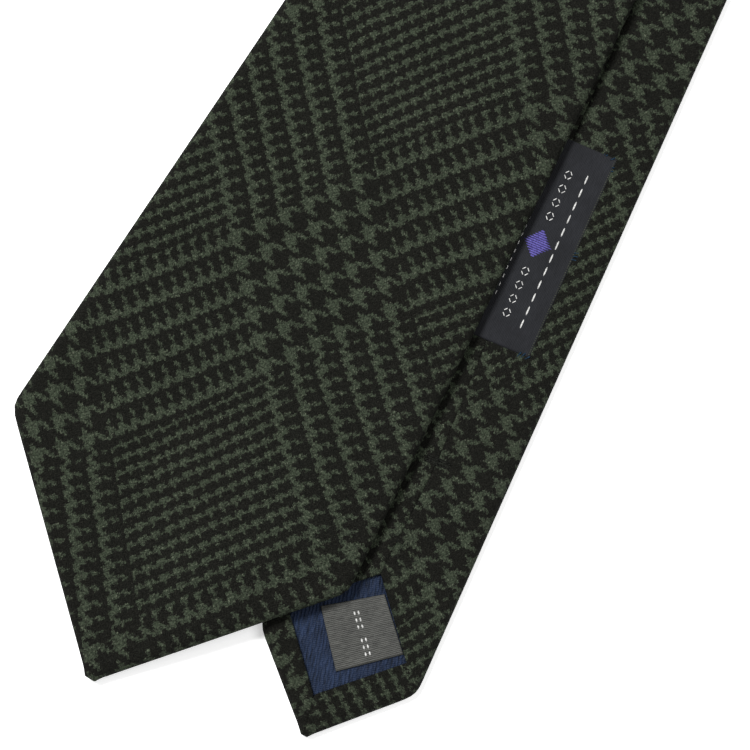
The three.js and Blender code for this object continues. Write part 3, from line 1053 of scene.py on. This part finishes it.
def wool_material():
    m, nt, b = new_mat("wool_glen_check")
    n = N(nt)
    uv = n.node("ShaderNodeUVMap", uv_map="cloth").outputs[0]
    sep = n.node("ShaderNodeSeparateXYZ")
    n.put(sep.inputs[0], uv)
    i0 = n.m("MULTIPLY", sep.outputs[0], 96.0)
    j0 = n.m("MULTIPLY", sep.outputs[1], 96.0)
    base = n.vec(i0, j0)
    # brushed surface: the yarns' edges wander, and single fibres cross them
    wide_i = n.m("MULTIPLY", n.m("SUBTRACT", n.noise(n.vec(n.m("ADD", i0, 71.7), n.m("ADD", j0, 51.3)), 0.13, 1.0, 0.5), 0.5), 1.3)
    wide_j = n.m("MULTIPLY", n.m("SUBTRACT", n.noise(n.vec(n.m("ADD", i0, 17.1), n.m("ADD", j0, 93.9)), 0.13, 1.0, 0.5), 0.5), 1.3)

    def light(a, first, start):
        mm = n.m("FLOORED_MODULO", n.m("SUBTRACT", a, float(start)), 96.0)
        coarse = n.m("LESS_THAN", n.m("ABSOLUTE", n.m("SUBTRACT", n.m("FLOORED_MODULO", a, 8.0), 2.0)), 1.78)
        fine = n.m("LESS_THAN", n.m("ABSOLUTE", n.m("SUBTRACT", n.m("FLOORED_MODULO", n.m("ADD", a, float(first)), 4.0), 1.0)), 0.88)
        return n.mix(n.m("LESS_THAN", mm, 48.0), fine, coarse)

    def check(seed, amount, scale):
        w1 = n.noise(n.vec(n.m("ADD", i0, seed), n.m("ADD", j0, 5.1 + seed)), scale, 2.0, 0.75)
        w2 = n.noise(n.vec(n.m("ADD", i0, 31.7 + seed), n.m("ADD", j0, 11.3)), scale, 2.0, 0.75)
        i = n.m("ADD", n.m("ADD", i0, wide_i), n.m("MULTIPLY", n.m("SUBTRACT", w1, 0.5), amount))
        j = n.m("ADD", n.m("ADD", j0, wide_j), n.m("MULTIPLY", n.m("SUBTRACT", w2, 0.5), amount))
        I, J = n.m("FLOOR", i), n.m("FLOOR", j)
        warp = n.m("LESS_THAN", n.m("FLOORED_MODULO", n.m("ADD", n.m("SUBTRACT", I, J), 3.0), 4.0), 1.5)
        return n.mix(warp, light(j, WEFT_FIRST, -2), light(i, WARP_FIRST, 0)), warp, i, j

    g1, warp, i, j = check(0.0, 2.2, 0.9)
    g2, _, _, _ = check(211.0, 4.4, 1.9)
    # heather: fibres of both shades in each yarn, drawn out along it
    along_i = n.noise(n.vec(n.m("MULTIPLY", i0, 1.9), n.m("MULTIPLY", j0, 0.6)), 1.6, 3.0, 0.7)
    along_j = n.noise(n.vec(n.m("MULTIPLY", i0, 0.6), n.m("MULTIPLY", j0, 1.9)), 1.6, 3.0, 0.7)
    fib = n.mix(warp, along_j, along_i)
    tiny = n.noise(base, 3.4, 2.0, 0.6)
    spot = n.noise(n.vec(n.m("ADD", i0, 400.0), j0), 1.7, 2.0, 0.7)
    blotch = n.noise(base, 0.045, 2.0, 0.5)
    both = n.m("MULTIPLY", g1, g2)
    g = n.m("ADD", n.m("MULTIPLY", both, 0.74), n.m("MULTIPLY", n.m("ADD", g1, g2), 0.13))
    g = n.m("MULTIPLY", g, n.m("ADD", n.m("MULTIPLY", n.step(fib, 0.34, 0.58), 0.55), 0.45))
    gf = n.step(n.m("ADD", n.m("MULTIPLY", fib, 0.45), n.m("MULTIPLY", spot, 0.55)), 0.36, 0.64)
    core = n.step(g, 0.3, 0.9)
    green = n.col(gf, GREEN_LOW, GREEN_HIGH)
    pale = n.col(gf, PALE_LOW, PALE_HIGH)
    lightc = n.col(core, pale, green)
    dark = n.col(n.step(n.m("ADD", n.m("MULTIPLY", fib, 0.5), n.m("MULTIPLY", tiny, 0.5)), 0.36, 0.70), DARK_LOW, DARK_HIGH)
    c = n.col(n.step(g, 0.05, 0.85), dark, lightc)
    c = n.col(n.m("MULTIPLY", n.step(spot, 0.58, 0.74), n.m("ADD", n.m("MULTIPLY", g, 0.55), 0.10)), c, FLECK)
    vary = n.m("ADD", n.m("MULTIPLY", blotch, 0.36), 0.82)
    c = n.col(1.0, c, n.vec(vary, vary, vary), "MULTIPLY")
    n.put(b.inputs["Base Color"], c)
    b.inputs["Roughness"].default_value = 0.95
    b.inputs["Specular IOR Level"].default_value = 0.04
    b.inputs["Sheen Weight"].default_value = 0.012
    b.inputs["Sheen Roughness"].default_value = 0.5
    b.inputs["Sheen Tint"].default_value = (0.8, 0.85, 0.75, 1)
    # relief: yarns, twill lines and nap
    fi = n.m("ABSOLUTE", n.m("SUBTRACT", n.m("FRACT", i), 0.5))
    fj = n.m("ABSOLUTE", n.m("SUBTRACT", n.m("FRACT", j), 0.5))
    yarn = n.m("SUBTRACT", 1.0, n.m("MULTIPLY", n.mix(warp, fj, fi), 1.6))
    twill = n.m("SINE", n.m("MULTIPLY", n.m("SUBTRACT", i0, j0), math.pi / 2))
    h = n.m("ADD", n.m("MULTIPLY", yarn, 0.4), n.m("MULTIPLY", twill, 0.35))
    h = n.m("ADD", h, n.m("MULTIPLY", fib, 0.9))
    h = n.m("ADD", h, n.m("MULTIPLY", tiny, 0.6))
    n.put(b.inputs["Normal"], n.bump(h, 0.6, 0.00025))
    return m


def twill_material(name, low, high, scale, rough, sheen, slub=0.3, angle=0.7, relief=0.35, unit=100.0, gloss=0.15, wander=2.2, ribs=0.28):
    m, nt, b = new_mat(name)
    n = N(nt)
    uv = n.node("ShaderNodeUVMap", uv_map="cloth").outputs[0]
    sep = n.node("ShaderNodeSeparateXYZ")
    n.put(sep.inputs[0], uv)
    x, y = n.m("MULTIPLY", sep.outputs[0], unit), n.m("MULTIPLY", sep.outputs[1], unit)
    v = n.vec(x, y)
    warp_n = n.noise(v, 0.8, 3.0, 0.6)
    ca, sa = math.cos(angle), math.sin(angle)
    u1 = n.m("ADD", n.m("MULTIPLY", x, ca), n.m("MULTIPLY", y, sa))
    u2 = n.m("SUBTRACT", n.m("MULTIPLY", y, ca), n.m("MULTIPLY", x, sa))
    ridge = n.m("SINE", n.m("ADD", n.m("MULTIPLY", u1, scale), n.m("MULTIPLY", warp_n, wander)))
    slubs = n.noise(n.vec(n.m("MULTIPLY", u1, 2.2), n.m("MULTIPLY", u2, 0.35)), 1.0, 3.0, 0.6)
    cross = n.m("SINE", n.m("MULTIPLY", u2, scale * 1.7))
    f = n.m("ADD", n.m("MULTIPLY", ridge, ribs), 0.5)
    f = n.m("ADD", f, n.m("MULTIPLY", n.m("SUBTRACT", slubs, 0.5), slub * 3))
    f = n.m("ADD", f, n.m("MULTIPLY", cross, 0.07), clamp=True)
    c = n.col(f, low, high)
    cloud = n.m("ADD", n.m("MULTIPLY", n.noise(v, 0.11, 2.0, 0.5), 0.9), 0.55)
    c = n.col(1.0, c, n.vec(cloud, cloud, cloud), "MULTIPLY")
    n.put(b.inputs["Base Color"], c)
    b.inputs["Roughness"].default_value = rough
    b.inputs["Specular IOR Level"].default_value = gloss
    b.inputs["Sheen Weight"].default_value = sheen
    b.inputs["Sheen Roughness"].default_value = 0.4
    h = n.m("ADD", n.m("MULTIPLY", ridge, 0.6), n.m("ADD", n.m("MULTIPLY", slubs, 0.8), n.m("MULTIPLY", cross, 0.2)))
    n.put(b.inputs["Normal"], n.bump(h, relief, 0.0002))
    return m


def thread_material(name, low, high, rough=0.75, gloss=0.08):
    m, nt, b = new_mat(name)
    n = N(nt)
    co = n.node("ShaderNodeTexCoord").outputs["Object"]
    a = n.noise(co, 4200.0, 2.0, 0.6)
    bnd = n.noise(co, 900.0, 2.0, 0.5)
    c = n.col(n.step(a, 0.35, 0.65), low, high)
    n.put(b.inputs["Base Color"], c)
    b.inputs["Roughness"].default_value = rough
    b.inputs["Specular IOR Level"].default_value = gloss
    b.inputs["Sheen Weight"].default_value = 0.01
    n.put(b.inputs["Normal"], n.bump(n.m("ADD", a, bnd), 0.5, 0.0001))
    return m


def canvas_material():
    m, nt, b = new_mat("napped_interlining")
    n = N(nt)
    co = n.node("ShaderNodeTexCoord").outputs["Object"]
    sep = n.node("ShaderNodeSeparateXYZ")
    n.put(sep.inputs[0], co)
    sx = n.m("SINE", n.m("MULTIPLY", sep.outputs[0], 5200.0))
    sy = n.m("SINE", n.m("MULTIPLY", sep.outputs[1], 5200.0))
    nap = n.noise(co, 900.0, 4.0, 0.7)
    f = n.m("ADD", n.m("MULTIPLY", n.m("MULTIPLY", sx, sy), 0.25), nap, clamp=True)
    n.put(b.inputs["Base Color"], n.col(f, (0.42, 0.38, 0.30, 1), (0.70, 0.66, 0.56, 1)))
    b.inputs["Roughness"].default_value = 0.95
    b.inputs["Sheen Weight"].default_value = 0.2
    n.put(b.inputs["Normal"], n.bump(f, 0.5, 0.0003))
    return m


WOOL = wool_material()
LINING = twill_material("navy_twill_lining", (0.0030, 0.0058, 0.0125, 1), (0.0165, 0.0285, 0.0640, 1), 9.0, 0.6, 0.01, 0.75, 0.35, 0.7, 95.0, 0.14, 9.0, 0.12)
WOVEN = twill_material("woven_label_ground", (0.0050, 0.0056, 0.0070, 1), (0.0150, 0.0158, 0.0190, 1), 13.0, 0.8, 0.01, 0.45, 0.0, 0.35, 15.0, 0.2)
SATIN = twill_material("satin_tape", (0.016, 0.0164, 0.0145, 1), (0.055, 0.056, 0.050, 1), 12.0, 0.5, 0.02, 0.8, 0.0, 0.35, 14.0, 0.3, 3.0, 0.08)
BLACK_THREAD = thread_material("black_thread", (0.004, 0.0045, 0.004, 1), (0.016, 0.018, 0.014, 1))
TACK_THREAD = thread_material("tack_thread", (0.0015, 0.0016, 0.0014, 1), (0.016, 0.017, 0.014, 1), 0.9, 0.03)
NAVY_THREAD = thread_material("navy_thread", (0.003, 0.008, 0.018, 1), (0.012, 0.034, 0.062, 1))
PALE_THREAD = thread_material("pale_thread", (0.30, 0.30, 0.29, 1), (0.62, 0.62, 0.60, 1))
SELVEDGE_THREAD = thread_material("label_selvedge", (0.020, 0.022, 0.016, 1), (0.062, 0.068, 0.046, 1))
PURPLE_THREAD = thread_material("purple_thread", (0.045, 0.035, 0.16, 1), (0.11, 0.095, 0.33, 1))
CANVAS = canvas_material()


def finish_with(ob, mat, body, replaces=()):
    ob.data.materials.clear()
    ob.data.materials.append(mat)
    if body:
        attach(ob, body)
    if replaces:
        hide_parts(*replaces)
    return ob


finish_with(blade_cloth, WOOL, "blade_half", ["blade_shell"])
finish_with(tail_cloth, WOOL, "tail_half", ["tail_shell"])
finish_with(neck_cloth, WOOL, None, ["neck_shell_blade_side", "neck_shell_fold", "neck_shell_tail_side"])
finish_with(interlining, CANVAS, None, ["blade_interlining", "interlining_fold", "tail_interlining"])
finish_with(blade_lining, LINING, "blade_half", ["blade_tipping"])
finish_with(tail_lining, LINING, "tail_half", ["tail_tipping"])
finish_with(blade_slip, BLACK_THREAD, "blade_half", ["blade_slip_stitch"])
finish_with(tail_slip, BLACK_THREAD, "tail_half", ["tail_slip_stitch"])
finish_with(blade_tack, TACK_THREAD, "blade_half", ["blade_bar_tack"])
finish_with(tail_tack, TACK_THREAD, "tail_half", ["tail_bar_tack"])
finish_with(blade_seam, BLACK_THREAD, "blade_half", ["blade_neck_seam"])
finish_with(tail_seam, BLACK_THREAD, "tail_half", ["tail_neck_seam"])
finish_with(woven, WOVEN, "tail_half", ["fabric_label"])
finish_with(label_marks, PALE_THREAD, "tail_half")
finish_with(label_motif, PURPLE_THREAD, "tail_half")
finish_with(label_edge, SELVEDGE_THREAD, "tail_half")
for i, ob in stitch_obs.items():
    finish_with(ob, NAVY_THREAD, "tail_half", [f"label_stitch_{i}"])
finish_with(care, SATIN, "care_label", ["care_label"])
finish_with(care_print, PALE_THREAD, "care_label")
finish_with(keeper, WOVEN, "blade_half", ["keeper_loop"])
for i, ob in keeper_ends.items():
    finish_with(ob, NAVY_THREAD, "blade_half", [f"keeper_end_stitch_{i}"])

fold_a = row_frame(np.array([0, FOLD_Y, 7.2]))
fold_b = row_frame(np.array([0, FOLD_Y, 1.9]))
for ob, w in ((neck_cloth, w_neck), (interlining, w_inter)):
    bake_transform(ob, "tail_half", "blade_half", start=tuple(fold_b), end=tuple(fold_a))
    weigh(ob, w)


# the lowest folds settle on the table instead of in it; every layer moves together
for ob in (
    [blade_cloth, tail_cloth, neck_cloth, interlining, blade_lining, tail_lining, blade_slip, tail_slip, blade_tack, tail_tack]
    + [blade_seam, tail_seam, woven, label_marks, label_motif, label_edge, care, care_print, keeper]
    + list(stitch_obs.values())
    + list(keeper_ends.values())
):
    co = np.empty(len(ob.data.vertices) * 3, np.float32)
    ob.data.vertices.foreach_get("co", co)
    co = co.reshape(-1, 3)
    low = np.clip((0.0020 - co[:, 2]) / 0.00234, 0, 1)
    co[:, 2] += 0.00037 * low * low
    ob.data.vertices.foreach_set("co", co.ravel())
    ob.data.update()

# ------------------------------------------------------------------ table, light and camera
def floor_mesh():
    me = bpy.data.meshes.new("table_top")
    me.from_pydata([(-6, -6, 0), (6, -6, 0), (6, 6, 0), (-6, 6, 0)], [], [(0, 1, 2, 3)])
    ob = bpy.data.objects.new("table_top", me)
    bpy.context.scene.collection.objects.link(ob)
    m, nt, b = new_mat("white_table")
    b.inputs["Base Color"].default_value = (0.93, 0.93, 0.93, 1)
    b.inputs["Roughness"].default_value = 0.9
    b.inputs["Specular IOR Level"].default_value = 0.1
    b.inputs["Emission Color"].default_value = (1, 1, 1, 1)
    b.inputs["Emission Strength"].default_value = 0.46
    me.materials.append(m)
    return ob


floor_mesh()
world = bpy.data.worlds.new("studio")
bpy.context.scene.world = world
world.use_nodes = True
world.node_tree.nodes["Background"].inputs[0].default_value = (1, 1, 1, 1)
world.node_tree.nodes["Background"].inputs[1].default_value = 0.28


def area_light(name, loc, target, size, power):
    d = bpy.data.lights.new(name, "AREA")
    d.shape = "SQUARE"
    d.size = size
    d.energy = power
    ob = bpy.data.objects.new(name, d)
    bpy.context.scene.collection.objects.link(ob)
    ob.location = loc
    ob.rotation_euler = (Vector(target) - Vector(loc)).to_track_quat("-Z", "Y").to_euler()
    return ob


TARGET = row_frame(np.array([22.5, 84.8, 5.0]))
RIGHT = np.array([0.8669, 0.4985, 0.0])
UP = np.array([-0.4985, 0.8669, 0.0])
key_at = TARGET + (-0.50 * RIGHT + 0.56 * UP) + np.array([0, 0, 1.3])
area_light("key", tuple(key_at), tuple(TARGET), 0.36, 31)
fill_at = TARGET + (0.9 * RIGHT + 0.2 * UP) + np.array([0, 0, 1.4])
area_light("fill", tuple(fill_at), tuple(TARGET), 0.9, 11)

DIST = 1.1
cam = bpy.data.cameras.new("camera")
cam.type = "PERSP"
cam.sensor_width = 36.0
cam.sensor_fit = "HORIZONTAL"
cam.lens = 36.0 * DIST / 0.15705
cam.clip_start = 0.05
cam.clip_end = 50
cam_ob = bpy.data.objects.new("camera", cam)
bpy.context.scene.collection.objects.link(cam_ob)
from mathutils import Matrix

cam_ob.matrix_world = Matrix(
    (
        (RIGHT[0], UP[0], 0, TARGET[0]),
        (RIGHT[1], UP[1], 0, TARGET[1]),
        (RIGHT[2], UP[2], 1, TARGET[2] + DIST),
        (0, 0, 0, 1),
    )
)
bpy.context.scene.camera = cam_ob
bpy.context.scene.view_settings.view_transform = "Standard"
bpy.context.scene.view_settings.look = "None"
